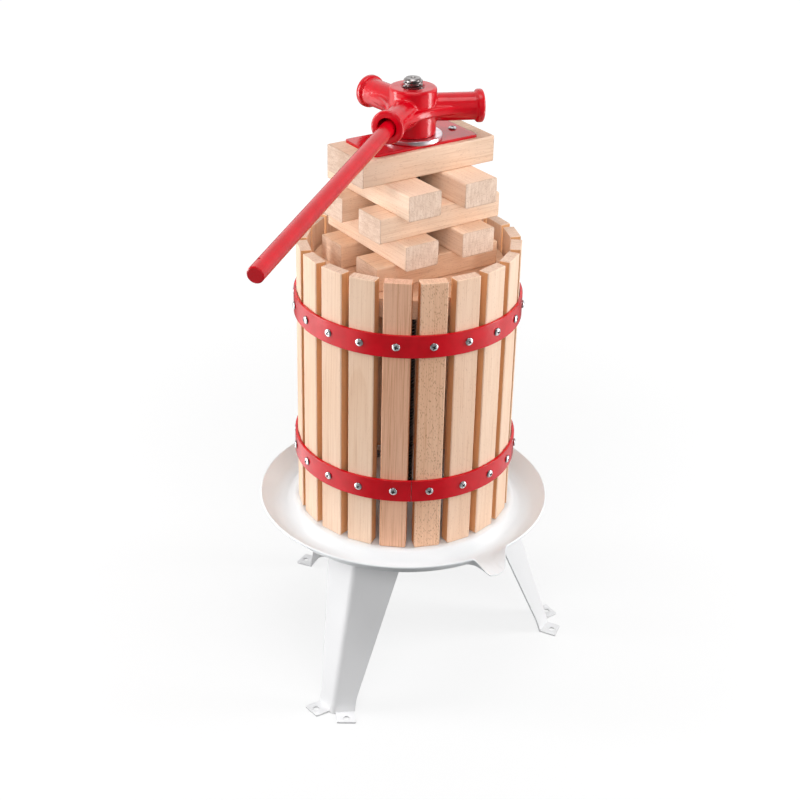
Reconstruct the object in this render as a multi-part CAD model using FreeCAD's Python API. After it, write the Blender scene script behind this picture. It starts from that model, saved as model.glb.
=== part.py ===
import FreeCAD, Part
import math
import os

# Fruit press. Millimetres and degrees. The origin is on the spindle axis at floor level, +Z up.
# Azimuth 0 points to the pouring spout, along -Y, and grows towards +X.

# Basket
stave_count = 20
stave_width = 29.0
stave_thickness = 12.5
stave_length = 317.0
stave_edge_chamfer = 0.9
stave_foot_corner_radius = 3.5
stave_foot_edge_radius = 2.0
stave_top_edge_radius = 0.9
stave_face_radius = 121.0
basket_turn = -5.0

# Hoops and their screws
hoop_bar_height = 25.0
hoop_bar_thickness = 3.0
lower_hoop_rise = 74.5
hoop_spacing = 173.0
hoop_seam_gap = 0.5
lower_seam_slot = -2
upper_seam_slot = 9
hoop_screw_radius = 2.0
hoop_screw_length = 13.0
hoop_screw_head_radius = 4.4
hoop_screw_head_height = 2.6

# Tray
seat_height = 196.0
tray_thickness = 1.5
tray_rim_radius = 166.4
tray_rim_rise = 5.0
channel_depth = 13.0
channel_floor_radius = 12.0
seat_shoulder_radius = 8.0
seat_slope_angle = 50.0
rim_slope_angle = 48.0
rim_bead_radius = 1.6

# Pouring spout
spout_mouth_width = 42.0
spout_tip_width = 25.0
spout_reach = 14.0
spout_fall = 2.5
spout_lip_height = 4.5
spout_end_radius = 28.0

# Legs
leg_azimuths = [-60.0, 60.0, 180.0]
leg_sheet = 2.0
leg_fold_half_angle = 57.3
leg_fold_radius = 8.0
leg_foot_radius = 185.6
leg_foot_flange = 26.5
leg_foot_straight = 17.0
leg_top_flange = 58.6
leg_top_tab_start = 27.0
leg_top_tab_width = 23.0
leg_top_tab_reach = 28.0
leg_bolt_circle_radius = 87.0
leg_bolt_setback = 20.0
leg_bolt_radius = 3.0
leg_bolt_head_flats = 10.0
leg_bolt_head_height = 4.0
leg_nut_height = 5.0
foot_tab_start = 4.8
foot_tab_reach_near = 16.3
foot_tab_reach_far = 19.0
foot_tab_corner_radius = 1.5
foot_hole_radius = 3.5
foot_hole_along = 16.2
foot_hole_setback = 10.4

# Spindle and its base
spindle_radius = 10.0
spindle_stand_out = 9.0
spindle_chamfer = 2.5
spindle_centre_radius = 3.0
thread_pitch = 4.0
base_flange_radius = 45.0
base_flange_thickness = 5.0
base_nut_flats = 30.0
collar_nut_height = 10.0
lock_nut_height = 16.0
spindle_tail = 6.0

# Press stack
board_clearance = 3.5
board_thickness = 21.0
board_top_depth = 26.0
board_joint_gap = 0.6
block_length = 152.0
block_width = 40.0
block_height = 27.0
block_edge_radius = 2.0
block_pitch = 71.0
layer_turns = [-2.4, -1.6, -0.2, -0.4]
beam_length = 164.0
beam_width = 68.0
beam_height = 28.5
beam_edge_radius = 2.0
beam_turn = -1.1
plate_length = 128.0
plate_width = 58.0
plate_thickness = 3.0
plate_corner_radius = 3.0
plate_screw_offset = 52.0
plate_screw_radius = 2.5
plate_screw_length = 20.0
plate_screw_head_radius = 4.6
plate_screw_head_height = 2.6
washer_radius = 32.0
washer_thickness = 5.0
washer_edge_radius = 1.2

# Cast head
hub_radius = 25.0
hub_height = 49.0
hub_top_edge_radius = 3.0
hub_countersink = 2.8
socket_axis_rise = 26.3
socket_count = 3
socket_reach = 74.0
socket_tube_radius = 14.5
socket_bead_radius = 17.3
socket_bead_width = 8.0
socket_bead_edge = 2.6
socket_bore_radius = 10.1
socket_bore_depth = 46.0
web_thickness = 9.0
web_edge_radius = 3.0
web_waist_radius = 29.5
casting_fillet = 3.0
handle_azimuth = -56.0

# Handle bar
handle_radius = 8.0
handle_length = 370.0
handle_insert = 43.0
handle_end_chamfer = 1.0
handle_roll = 22.0
handle_hole_radius = 1.5
handle_hole_depth = 4.0
handle_hole_setback = 16.0

# Clearances
thread_clearance = 0.06
screw_clearance = 0.05
leg_bolt_clearance = 0.3
spindle_hole_clearance = 1.5
hoop_to_stave_clearance = 0.2
handle_rest_gap = 0.35

# Sizes that follow from the ones above
stave_step = 360.0 / stave_count
basket_top = seat_height + stave_length
stave_inner_radius = stave_face_radius - stave_thickness
board_radius = stave_inner_radius - board_clearance
stave_corner_offset = stave_width / 2.0 - stave_edge_chamfer
stave_corner_radius = math.hypot(stave_face_radius, stave_corner_offset)
hoop_inner_radius = stave_corner_radius + hoop_to_stave_clearance
hoop_outer_radius = hoop_inner_radius + hoop_bar_thickness
lower_hoop_height = seat_height + lower_hoop_rise
upper_hoop_height = lower_hoop_height + hoop_spacing
rim_height = seat_height + tray_rim_rise
wall_top_radius = tray_rim_radius - rim_bead_radius
channel_height = seat_height - channel_depth
tray_underside = seat_height - tray_thickness
board_top = basket_top - board_top_depth
board_bottom = board_top - board_thickness
blocks_top = board_top + len(layer_turns) * block_height
beam_top = blocks_top + beam_height
plate_top = beam_top + plate_thickness
hub_bottom = plate_top + washer_thickness
hub_top = hub_bottom + hub_height
socket_axis_height = hub_bottom + socket_axis_rise
spindle_height = hub_top + spindle_stand_out
spindle_hole_radius = spindle_radius + spindle_hole_clearance


def vector(x, y, z):
    return FreeCAD.Vector(x, y, z)


def polar(radius, azimuth, height):
    angle = math.radians(azimuth)
    return vector(radius * math.sin(angle), -radius * math.cos(angle), height)


def turned(shape, azimuth, height=0.0):
    copy = shape.copy()
    copy.rotate(vector(0, 0, 0), vector(0, 0, 1), azimuth)
    copy.translate(vector(0, 0, height))
    return copy


def block(x_low, x_high, y_low, y_high, z_low, z_high):
    size = (x_high - x_low, y_high - y_low, z_high - z_low)
    return Part.makeBox(size[0], size[1], size[2], vector(x_low, y_low, z_low))


def post(radius, low, high, x=0.0, y=0.0):
    return Part.makeCylinder(radius, high - low, vector(x, y, low))


def prism(points, low, high):
    corners = [vector(x, y, low) for x, y in points]
    face = Part.Face(Part.makePolygon(corners + [corners[0]]))
    return face.extrude(vector(0, 0, high - low))


def revolved(edges):
    wire = Part.Wire(Part.__sortEdges__(edges))
    return Part.Face(wire).revolve(vector(0, 0, 0), vector(0, 0, 1), 360)


def line(start, end):
    return Part.makeLine(start, end)


def arc(centre, radius, from_angle, to_angle):
    # In the XZ plane, with the angle counted from +X towards +Z, drawn through its middle
    def point(angle):
        turn = math.radians(angle)
        return centre + vector(radius * math.cos(turn), 0, radius * math.sin(turn))
    middle = (from_angle + to_angle) / 2.0
    return Part.Arc(point(from_angle), point(middle), point(to_angle)).toShape()


def save(name, shape):
    if not shape.isValid():
        print("not valid:", name)
    print(name, "solids", len(shape.Solids), "volume", round(shape.Volume / 1000.0, 2))
    shape.exportStep("parts/" + name + ".step")


# Basket

def stave_blank():
    half = stave_width / 2.0
    ease = stave_edge_chamfer
    front = -stave_face_radius
    back = -stave_inner_radius
    outline = [
        (-half + ease, front), (half - ease, front), (half, front + ease), (half, back - ease),
        (half - ease, back), (-half + ease, back), (-half, back - ease), (-half, front + ease)]
    return prism(outline, seat_height, basket_top)


def end_rounded(half, foot_radius, top_radius):
    # A bar's outline in the XZ plane with its foot and its top corners rounded
    foot = seat_height + foot_radius
    top = basket_top - top_radius
    inner = half - foot_radius
    upper = half - top_radius
    edges = [
        line(vector(-inner, 0, seat_height), vector(inner, 0, seat_height)),
        arc(vector(inner, 0, foot), foot_radius, 270.0, 360.0),
        line(vector(half, 0, foot), vector(half, 0, top)),
        arc(vector(upper, 0, top), top_radius, 0.0, 90.0),
        line(vector(upper, 0, basket_top), vector(-upper, 0, basket_top)),
        arc(vector(-upper, 0, top), top_radius, 90.0, 180.0),
        line(vector(-half, 0, top), vector(-half, 0, foot)),
        arc(vector(-inner, 0, foot), foot_radius, 180.0, 270.0)]
    return Part.Face(Part.Wire(edges))


def stave_envelope():
    # What the rounded ends leave, seen from the front and from the side
    front = end_rounded(stave_width / 2.0, stave_foot_corner_radius, stave_top_edge_radius)
    front.translate(vector(0, -stave_face_radius, 0))
    side = end_rounded(stave_thickness / 2.0, stave_foot_edge_radius, stave_top_edge_radius)
    side.rotate(vector(0, 0, 0), vector(0, 0, 1), 90.0)
    side.translate(vector(-stave_width, -stave_face_radius + stave_thickness / 2.0, 0))
    front = front.extrude(vector(0, stave_thickness, 0))
    return front.common(side.extrude(vector(2.0 * stave_width, 0, 0)))


def stave_azimuth(index):
    return basket_turn + stave_step * index


def screw_reach_in():
    return hoop_outer_radius - hoop_screw_length


def stave():
    body = stave_blank().common(stave_envelope())
    for height in (lower_hoop_height, upper_hoop_height):
        depth = stave_face_radius - screw_reach_in() + 1.0
        pilot = Part.makeCylinder(
            hoop_screw_radius + screw_clearance, depth + 1.0,
            vector(0, -stave_face_radius - 1.0, height), vector(0, 1, 0))
        body = body.cut(pilot)
    return body


def hoop(height, seam_slot):
    low = height - hoop_bar_height / 2.0
    high = height + hoop_bar_height / 2.0
    bar = post(hoop_outer_radius, low, high).cut(post(hoop_inner_radius, low, high))
    drill = Part.makeCylinder(
        hoop_screw_radius + screw_clearance, hoop_bar_thickness + 4.0,
        vector(0, -hoop_outer_radius - 2.0, height), vector(0, 1, 0))
    seam = block(
        -hoop_seam_gap / 2.0, hoop_seam_gap / 2.0,
        -hoop_outer_radius - 1.0, -hoop_inner_radius + 1.0, low - 1.0, high + 1.0)
    cutters = [turned(drill, stave_azimuth(index)) for index in range(stave_count)]
    cutters.append(turned(seam, stave_azimuth(seam_slot + 0.5)))
    return bar.cut(Part.makeCompound(cutters))


def hoop_screw(height):
    # Pan head on the hoop's outer face, with its plain shank pointing to the axis
    seat = hoop_outer_radius
    head = Part.makeCylinder(
        hoop_screw_head_radius, hoop_screw_head_height,
        vector(0, -seat - hoop_screw_head_height, height), vector(0, 1, 0))
    rim = [edge for edge in head.Edges if edge.Closed and edge.CenterOfMass.y < -seat - 1.0]
    head = head.makeChamfer(hoop_screw_head_height * 0.5, rim)
    shank = Part.makeCylinder(
        hoop_screw_radius, hoop_screw_length, vector(0, -seat, height), vector(0, 1, 0))
    return head.fuse(shank).removeSplitter()


def hoop_screws(height):
    screw = hoop_screw(height)
    screws = [turned(screw, stave_azimuth(index)) for index in range(stave_count)]
    return Part.makeCompound(screws)


# Tray

def tray_line():
    # Radii and heights of the tray's upper surface, from the rim inwards by tangent arcs
    rim_slope = math.radians(rim_slope_angle)
    seat_slope = math.radians(seat_slope_angle)
    floor = channel_floor_radius
    floor_centre_height = channel_height + floor
    rise = rim_height - (floor_centre_height - floor * math.cos(rim_slope))
    floor_centre_radius = wall_top_radius - rise / math.tan(rim_slope) - floor * math.sin(rim_slope)
    shoulder = seat_shoulder_radius
    shoulder_end = seat_height - shoulder * (1.0 - math.cos(seat_slope))
    inner_end_height = floor_centre_height - floor * math.cos(seat_slope)
    inner_end_radius = floor_centre_radius - floor * math.sin(seat_slope)
    run = (shoulder_end - inner_end_height) / math.tan(seat_slope)
    shoulder_centre_radius = inner_end_radius - run - shoulder * math.sin(seat_slope)
    return floor_centre_radius, floor_centre_height, shoulder_centre_radius


def tray_side(offset):
    # One side of the sheet: offset 0 is the upper surface, a positive one lies below it
    floor_radius, floor_height, shoulder_radius = tray_line()
    shoulder = seat_shoulder_radius - offset
    floor = channel_floor_radius + offset
    shoulder_centre = vector(shoulder_radius, 0, seat_height - seat_shoulder_radius)
    floor_centre = vector(floor_radius, 0, floor_height)
    shoulder_arc = arc(shoulder_centre, shoulder, 90.0, 90.0 - seat_slope_angle)
    floor_arc = arc(floor_centre, floor, 270.0 - seat_slope_angle, 270.0 + rim_slope_angle)
    slope = math.radians(rim_slope_angle)
    rim = vector(wall_top_radius, 0, rim_height)
    rim = rim + vector(math.sin(slope) * offset, 0, -math.cos(slope) * offset)
    start = vector(spindle_hole_radius, 0, seat_height - offset)
    edges = [
        line(start, shoulder_arc.firstVertex().Point),
        shoulder_arc,
        line(shoulder_arc.lastVertex().Point, floor_arc.firstVertex().Point),
        floor_arc,
        line(floor_arc.lastVertex().Point, rim)]
    return edges, start, rim


def tray_bowl():
    upper, upper_start, upper_rim = tray_side(0.0)
    lower, lower_start, lower_rim = tray_side(tray_thickness)
    ends = [line(upper_start, lower_start), line(upper_rim, lower_rim)]
    bowl = revolved(upper + lower + ends)
    bead = Part.makeTorus(
        tray_rim_radius - rim_bead_radius, rim_bead_radius, vector(0, 0, rim_height - rim_bead_radius))
    return bowl.fuse(bead)


def tray_cavity():
    # Everything above the upper surface, up to the top of the spout's walls
    upper, start, rim = tray_side(0.0)
    lid = rim_height + 3.0 * rim_bead_radius
    top_rim = vector(rim.x, 0, lid)
    top_start = vector(start.x, 0, lid)
    ends = [line(rim, top_rim), line(top_rim, top_start), line(top_start, start)]
    return revolved(upper + ends).fuse(post(spindle_hole_radius, seat_height, lid))


def spout_section(share, grow, lift):
    # A round-bottomed section of the trough, share 0 at the rim and 1 at the tip
    reach = tray_rim_radius + spout_reach * share
    half_width = (spout_mouth_width + (spout_tip_width - spout_mouth_width) * share) / 2.0 + grow
    floor = channel_height - spout_fall * share
    tip_lip = channel_height - spout_fall + spout_lip_height
    lip = rim_height + (tip_lip - rim_height) * min(1.0, share) + lift
    left = vector(-half_width, -reach, lip)
    right = vector(half_width, -reach, lip)
    bottom = vector(0, -reach, floor - grow)
    return Part.Wire([Part.Arc(left, bottom, right).toShape(), line(right, left)])


def spout_trough(grow, lift):
    # From above the channel's floor to past the tip, then cut round at the tip
    start = (tray_line()[0] - tray_rim_radius) / spout_reach
    sections = [spout_section(share, grow, lift) for share in (start, 0.0, 1.2)]
    return Part.makeLoft(sections, True, True)


def spout_end(grow):
    reach = tray_rim_radius + spout_reach
    low = channel_height - 4.0 * spout_fall
    high = rim_height + channel_floor_radius
    return post(spout_end_radius + grow, low, high, 0, spout_end_radius - reach)


def tray():
    bowl = tray_bowl()
    shell = spout_trough(tray_thickness, 0.0).common(spout_end(0.0)).cut(tray_cavity())
    body = shell.fuse(bowl).cut(spout_trough(0.0, rim_bead_radius))
    holes = [
        post(leg_bolt_radius + leg_bolt_clearance, tray_underside - 1.0, seat_height + 1.0, p.x, p.y)
        for p in leg_bolt_places()]
    body = body.cut(Part.makeCompound(holes))
    solids = sorted(body.Solids, key=lambda solid: solid.Volume)
    return solids[-1].removeSplitter()


# Legs

def leg_fold_top():
    # The fold's place under the tray, set back from the bolts that hold the two top tabs
    half = math.radians(leg_fold_half_angle)
    along = leg_top_tab_start + leg_top_tab_width / 2.0
    across = math.sin(half) * along - math.cos(half) * leg_bolt_setback
    depth = math.cos(half) * along + math.sin(half) * leg_bolt_setback
    return math.sqrt(leg_bolt_circle_radius ** 2 - across ** 2) + depth


def leg_fold_place(height):
    share = height / tray_underside
    return leg_foot_radius + (leg_fold_top() - leg_foot_radius) * share


def leg_flange_width(height):
    # Straight up at the foot, then widening to the tray
    share = max(0.0, height - leg_foot_straight) / (tray_underside - leg_foot_straight)
    return leg_foot_flange + (leg_top_flange - leg_foot_flange) * share


def flange_point(side, height, along, inward):
    # A point on a flange: along it from the fold's outer corner, and inward through the sheet
    half = math.radians(leg_fold_half_angle)
    across = math.sin(half) * along - math.cos(half) * inward
    radius = leg_fold_place(height) - math.cos(half) * along - math.sin(half) * inward
    return vector(side * across, -radius, height)


def leg_section(height):
    half = math.radians(leg_fold_half_angle)
    width = leg_flange_width(height)
    bend = leg_fold_radius / math.tan(half)
    nose = leg_fold_place(height) - leg_fold_radius / math.sin(half) + leg_fold_radius
    outer = [flange_point(side, height, bend, 0) for side in (-1, 1)]
    inner = [flange_point(side, height, bend, leg_sheet) for side in (-1, 1)]
    tip = [flange_point(side, height, width, 0) for side in (-1, 1)]
    inner_tip = [flange_point(side, height, width, leg_sheet) for side in (-1, 1)]
    return Part.Wire([
        line(tip[0], outer[0]),
        Part.Arc(outer[0], vector(0, -nose, height), outer[1]).toShape(),
        line(outer[1], tip[1]),
        line(tip[1], inner_tip[1]),
        line(inner_tip[1], inner[1]),
        Part.Arc(inner[1], vector(0, leg_sheet - nose, height), inner[0]).toShape(),
        line(inner[0], inner_tip[0]),
        line(inner_tip[0], tip[0])])


def top_tab(side):
    end = leg_top_tab_start + leg_top_tab_width
    corners = [
        flange_point(side, tray_underside, leg_top_tab_start, 0),
        flange_point(side, tray_underside, end, 0),
        flange_point(side, tray_underside, end, leg_top_tab_reach),
        flange_point(side, tray_underside, leg_top_tab_start, leg_top_tab_reach)]
    return prism([(p.x, p.y) for p in corners], tray_underside - leg_sheet, tray_underside)


def top_bolt_place(side):
    middle = leg_top_tab_start + leg_top_tab_width / 2.0
    return flange_point(side, tray_underside, middle, leg_bolt_setback)


def foot_tab(side):
    corners = [
        flange_point(side, 0, foot_tab_start, leg_sheet),
        flange_point(side, 0, leg_foot_flange, leg_sheet),
        flange_point(side, 0, leg_foot_flange, -foot_tab_reach_far),
        flange_point(side, 0, foot_tab_start, -foot_tab_reach_near)]
    tab = prism([(p.x, p.y) for p in corners], 0, leg_sheet)
    free = [corners[2], corners[3]]
    round_edges = [edge for edge in tab.Edges if abs(edge.Length - leg_sheet) < 0.001
                   and min(math.hypot(edge.CenterOfMass.x - p.x, edge.CenterOfMass.y - p.y)
                           for p in free) < 0.001]
    return tab.makeFillet(foot_tab_corner_radius, round_edges)


def foot_hole_place(side):
    return flange_point(side, 0, foot_hole_along, -foot_hole_setback)


def leg():
    heights = (0, leg_foot_straight, tray_underside)
    sections = [leg_section(height) for height in heights]
    lower = Part.makeLoft(sections[:2], True, True)
    upper = Part.makeLoft(sections[1:], True, True)
    body = lower.fuse(upper)
    for side in (-1, 1):
        body = body.fuse([top_tab(side), foot_tab(side)])
    for side in (-1, 1):
        bolt = top_bolt_place(side)
        foot = foot_hole_place(side)
        body = body.cut(post(
            leg_bolt_radius + leg_bolt_clearance, tray_underside - 2.0 * leg_sheet,
            tray_underside + 1.0, bolt.x, bolt.y))
        body = body.cut(post(foot_hole_radius, -1.0, leg_sheet + 1.0, foot.x, foot.y))
    return body.removeSplitter()


def leg_bolt_places():
    places = []
    for azimuth in leg_azimuths:
        for side in (-1, 1):
            local = top_bolt_place(side)
            places.append(turned(Part.Vertex(local), azimuth).Point)
    return places


def hex_prism(flats, low, high, x=0.0, y=0.0):
    radius = flats / math.sqrt(3.0)
    corners = []
    for step in range(6):
        angle = math.radians(60.0 * step)
        corners.append((x + radius * math.cos(angle), y + radius * math.sin(angle)))
    return prism(corners, low, high)


def leg_bolts():
    bolts = []
    low = tray_underside - leg_sheet - leg_nut_height - 2.0
    for p in leg_bolt_places():
        head = hex_prism(
            leg_bolt_head_flats, seat_height, seat_height + leg_bolt_head_height, p.x, p.y)
        bolts.append(head.fuse(post(leg_bolt_radius, low, seat_height, p.x, p.y)).removeSplitter())
    return Part.makeCompound(bolts)


def leg_nuts():
    nuts = []
    high = tray_underside - leg_sheet
    low = high - leg_nut_height
    for p in leg_bolt_places():
        nut = hex_prism(leg_bolt_head_flats, low, high, p.x, p.y)
        nuts.append(nut.cut(post(leg_bolt_radius + screw_clearance, low - 1, high + 1, p.x, p.y)))
    return Part.makeCompound(nuts)


# Spindle and its base

def lock_nut_bottom():
    return tray_underside - base_flange_thickness - lock_nut_height


def spindle():
    bottom = lock_nut_bottom() - spindle_tail
    shaft = post(spindle_radius, bottom, spindle_height)
    top_edges = [edge for edge in shaft.Edges if edge.Closed and edge.CenterOfMass.z > bottom + 1]
    shaft = shaft.makeChamfer(spindle_chamfer, top_edges)
    depth = spindle_centre_radius
    dimple = Part.makeCone(0, spindle_centre_radius, depth, vector(0, 0, spindle_height - depth))
    return shaft.cut(dimple)


def spindle_bore(low, high):
    return post(spindle_radius + screw_clearance, low - 1.0, high + 1.0)


def base_flange():
    high = tray_underside
    low = high - base_flange_thickness
    return post(base_flange_radius, low, high).cut(spindle_bore(low, high))


def collar_nut():
    high = seat_height + collar_nut_height
    return hex_prism(base_nut_flats, seat_height, high).cut(spindle_bore(seat_height, high))


def lock_nut():
    low = lock_nut_bottom()
    high = low + lock_nut_height
    return hex_prism(base_nut_flats, low, high).cut(spindle_bore(low, high))


# Press stack

def press_board(side):
    disc = post(board_radius, board_bottom, board_top)
    half = block(
        board_joint_gap / 2.0, board_radius + 1.0, -board_radius - 1.0, board_radius + 1.0,
        board_bottom - 1.0, board_top + 1.0)
    body = disc.common(half).cut(post(spindle_hole_radius, board_bottom - 1.0, board_top + 1.0))
    if side < 0:
        body = turned(body, 180.0)
    return body


def eased_bar(length, width, low, high, edge_radius):
    bar = block(-length / 2.0, length / 2.0, -width / 2.0, width / 2.0, low, high)
    long_edges = [edge for edge in bar.Edges if abs(edge.Length - length) < 0.01]
    return bar.makeFillet(edge_radius, long_edges)


def press_block(layer, side):
    # Layers count from the board up. Odd ones lie along X, even ones along Y, each a little askew
    low = board_top + (layer - 1) * block_height
    bar = eased_bar(block_length, block_width, low, low + block_height, block_edge_radius)
    bar.translate(vector(0, side * block_pitch / 2.0, 0))
    crossing = 0.0 if layer % 2 else 90.0
    return turned(bar, crossing + layer_turns[layer - 1])


def top_beam():
    bar = eased_bar(beam_length, beam_width, blocks_top, beam_top, beam_edge_radius)
    bar = bar.cut(post(spindle_hole_radius, blocks_top - 1.0, beam_top + 1.0))
    for side in (-1, 1):
        bar = bar.cut(post(
            plate_screw_radius + screw_clearance, plate_top - plate_screw_length - 1.0,
            beam_top + 1.0, side * plate_screw_offset))
    return turned(bar, beam_turn)


def bearing_plate():
    plate = block(
        -plate_length / 2.0, plate_length / 2.0, -plate_width / 2.0, plate_width / 2.0,
        beam_top, plate_top)
    corners = [edge for edge in plate.Edges if abs(edge.Length - plate_thickness) < 0.01]
    plate = plate.makeFillet(plate_corner_radius, corners)
    plate = plate.cut(post(spindle_hole_radius, beam_top - 1.0, plate_top + 1.0))
    for side in (-1, 1):
        plate = plate.cut(post(
            plate_screw_radius + screw_clearance, beam_top - 1.0, plate_top + 1.0,
            side * plate_screw_offset))
    return turned(plate, beam_turn)


def plate_screws():
    screws = []
    for side in (-1, 1):
        x = side * plate_screw_offset
        head = post(plate_screw_head_radius, plate_top, plate_top + plate_screw_head_height, x)
        rim = [edge for edge in head.Edges if edge.Closed and edge.CenterOfMass.z > plate_top + 1.0]
        head = head.makeChamfer(plate_screw_head_height * 0.5, rim)
        shank = post(plate_screw_radius, plate_top - plate_screw_length, plate_top, x)
        screws.append(head.fuse(shank).removeSplitter())
    return turned(Part.makeCompound(screws), beam_turn)


def thrust_washer():
    ring = post(washer_radius, plate_top, hub_bottom)
    ring = ring.makeFillet(washer_edge_radius, [edge for edge in ring.Edges if edge.Closed])
    return ring.cut(post(spindle_hole_radius, plate_top - 1.0, hub_bottom + 1.0))


# Cast head

def socket_axis(radius):
    return vector(0, -radius, socket_axis_height)


def socket_tube():
    outward = vector(0, -1, 0)
    tube = Part.makeCylinder(
        socket_tube_radius, socket_reach - socket_bead_width / 2.0, socket_axis(0), outward)
    bead = Part.makeCylinder(
        socket_bead_radius, socket_bead_width, socket_axis(socket_reach - socket_bead_width), outward)
    bead = bead.makeFillet(socket_bead_edge, [edge for edge in bead.Edges if edge.Closed])
    return tube.fuse(bead)


def socket_bore():
    start = socket_axis(socket_reach - socket_bore_depth)
    return Part.makeCylinder(socket_bore_radius, socket_bore_depth + 1.0, start, vector(0, -1, 0))


def web_star():
    # A flat plate between the sockets with three hollow sides, each an arc tangent to two sockets
    step = math.radians(180.0 / socket_count)
    reach = (web_waist_radius - socket_tube_radius) / (1.0 - math.sin(step))
    side_radius = reach - web_waist_radius
    low = socket_axis_height - web_thickness / 2.0
    high = low + web_thickness
    star = post(reach * math.cos(step), low, high)
    for index in range(socket_count):
        place = polar(reach, 180.0 / socket_count + index * 360.0 / socket_count, 0)
        star = star.cut(post(side_radius, low - 1.0, high + 1.0, place.x, place.y))
    hollow = [edge for edge in star.Edges
              if edge.Curve.TypeId == "Part::GeomCircle" and abs(edge.Curve.Radius - side_radius) < 0.01]
    return star.makeFillet(web_edge_radius, hollow)


def head_casting():
    # Hub and sockets, with a fillet where each tube leaves the hub
    azimuths = [index * 360.0 / socket_count for index in range(socket_count)]
    tubes = [turned(socket_tube(), azimuth) for azimuth in azimuths]
    body = post(hub_radius, hub_bottom, hub_top).fuse(tubes).removeSplitter()
    body = body.makeFillet(casting_fillet, [
        edge for edge in body.Edges if edge.Closed and edge.Curve.TypeId == "Part::GeomBSplineCurve"])
    return body.makeFillet(hub_top_edge_radius, [
        edge for edge in body.Edges if edge.Closed and edge.CenterOfMass.z > hub_top - 0.01])


def head_nut():
    azimuths = [handle_azimuth + index * 360.0 / socket_count for index in range(socket_count)]
    body = turned(head_casting().fuse(web_star()), handle_azimuth)
    bore_radius = spindle_radius + thread_clearance
    sink = Part.makeCone(
        bore_radius, bore_radius + hub_countersink, hub_countersink, vector(0, 0, hub_top - hub_countersink))
    body = body.cut([post(bore_radius, hub_bottom - 1.0, hub_top + 1.0), sink])
    return body.cut([turned(socket_bore(), azimuth) for azimuth in azimuths])


# Handle bar

def handle_tip():
    # The loose bar tips until it rests on the socket's lip and against the bore's roof
    slack = 2.0 * (socket_bore_radius - handle_radius - handle_rest_gap)
    return math.degrees(math.atan(slack / handle_insert))


def handle_bar():
    bar = Part.makeCylinder(handle_radius, handle_length, vector(0, 0, 0), vector(0, -1, 0))
    bar = bar.makeChamfer(handle_end_chamfer, [edge for edge in bar.Edges if edge.Closed])
    hole = Part.makeCylinder(
        handle_hole_radius, handle_hole_depth + 1.0,
        vector(0, -handle_length + handle_hole_setback, handle_radius - handle_hole_depth), vector(0, 0, 1))
    bar = bar.cut(hole)
    bar.rotate(vector(0, -handle_insert / 2.0, 0), vector(1, 0, 0), handle_tip())
    bar.rotate(vector(0, 0, 0), vector(0, -1, 0), handle_roll)
    bar.translate(socket_axis(socket_reach - handle_insert))
    return turned(bar, handle_azimuth)


def build():
    os.makedirs("parts", exist_ok=True)
    stave_shape = stave()
    for index in range(stave_count):
        save("stave_%02d" % (index + 1), turned(stave_shape, stave_azimuth(index)))
    save("lower_hoop", hoop(lower_hoop_height, lower_seam_slot))
    save("upper_hoop", hoop(upper_hoop_height, upper_seam_slot))
    save("lower_hoop_screws", hoop_screws(lower_hoop_height))
    save("upper_hoop_screws", hoop_screws(upper_hoop_height))
    save("tray", tray())
    leg_shape = leg()
    for name, azimuth in zip(("leg_left", "leg_right", "leg_back"), leg_azimuths):
        save(name, turned(leg_shape, azimuth))
    save("leg_bolts", leg_bolts())
    save("leg_nuts", leg_nuts())
    save("spindle", spindle())
    save("spindle_base_flange", base_flange())
    save("spindle_collar_nut", collar_nut())
    save("spindle_lock_nut", lock_nut())
    save("press_board_left", press_board(-1))
    save("press_board_right", press_board(1))
    for layer in range(1, len(layer_turns) + 1):
        names = ("front", "back") if layer % 2 else ("right", "left")
        for name, side in zip(names, (-1, 1)):
            save("block_%d_%s" % (layer, name), press_block(layer, side))
    save("top_beam", top_beam())
    save("bearing_plate", bearing_plate())
    save("plate_screws", plate_screws())
    save("thrust_washer", thrust_washer())
    save("head_nut", head_nut())
    save("handle_bar", handle_bar())
    print("handle tips by", round(handle_tip(), 2), "degrees")
    print("travel per turn", thread_pitch)


build()
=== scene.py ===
import math
import random
import bmesh
import bpy
from mathutils import Matrix, Vector


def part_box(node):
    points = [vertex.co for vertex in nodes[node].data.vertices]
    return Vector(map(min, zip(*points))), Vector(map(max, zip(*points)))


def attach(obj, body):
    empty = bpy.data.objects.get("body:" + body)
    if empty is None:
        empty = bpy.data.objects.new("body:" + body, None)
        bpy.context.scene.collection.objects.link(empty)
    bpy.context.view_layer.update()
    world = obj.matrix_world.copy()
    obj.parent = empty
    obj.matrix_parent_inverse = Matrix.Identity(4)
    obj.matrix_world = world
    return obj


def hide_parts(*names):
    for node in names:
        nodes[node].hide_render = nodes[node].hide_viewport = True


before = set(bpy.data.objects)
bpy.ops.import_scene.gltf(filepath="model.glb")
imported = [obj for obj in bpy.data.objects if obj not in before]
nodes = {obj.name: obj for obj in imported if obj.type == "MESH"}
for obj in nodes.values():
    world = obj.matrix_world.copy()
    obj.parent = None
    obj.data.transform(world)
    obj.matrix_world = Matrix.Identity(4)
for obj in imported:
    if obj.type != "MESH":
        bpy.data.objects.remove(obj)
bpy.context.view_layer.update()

print("frame loaded,", len(nodes), "nodes")


# Camera and its place, from a camera fitted to the picture of the press

cameraFit = {
    "pictureWidth": 800.0,
    "sensorWidth": 36.0,
    "focal": 1563.09,          # in pixels of the picture
    "elevation": 28.13,
    "roll": 1.28,
    "turn": -35.8,
    "distance": 1.79379,
    "across": -0.00519,
    "up": 0.03994,
    "aimHeight": 0.2705}


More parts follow.
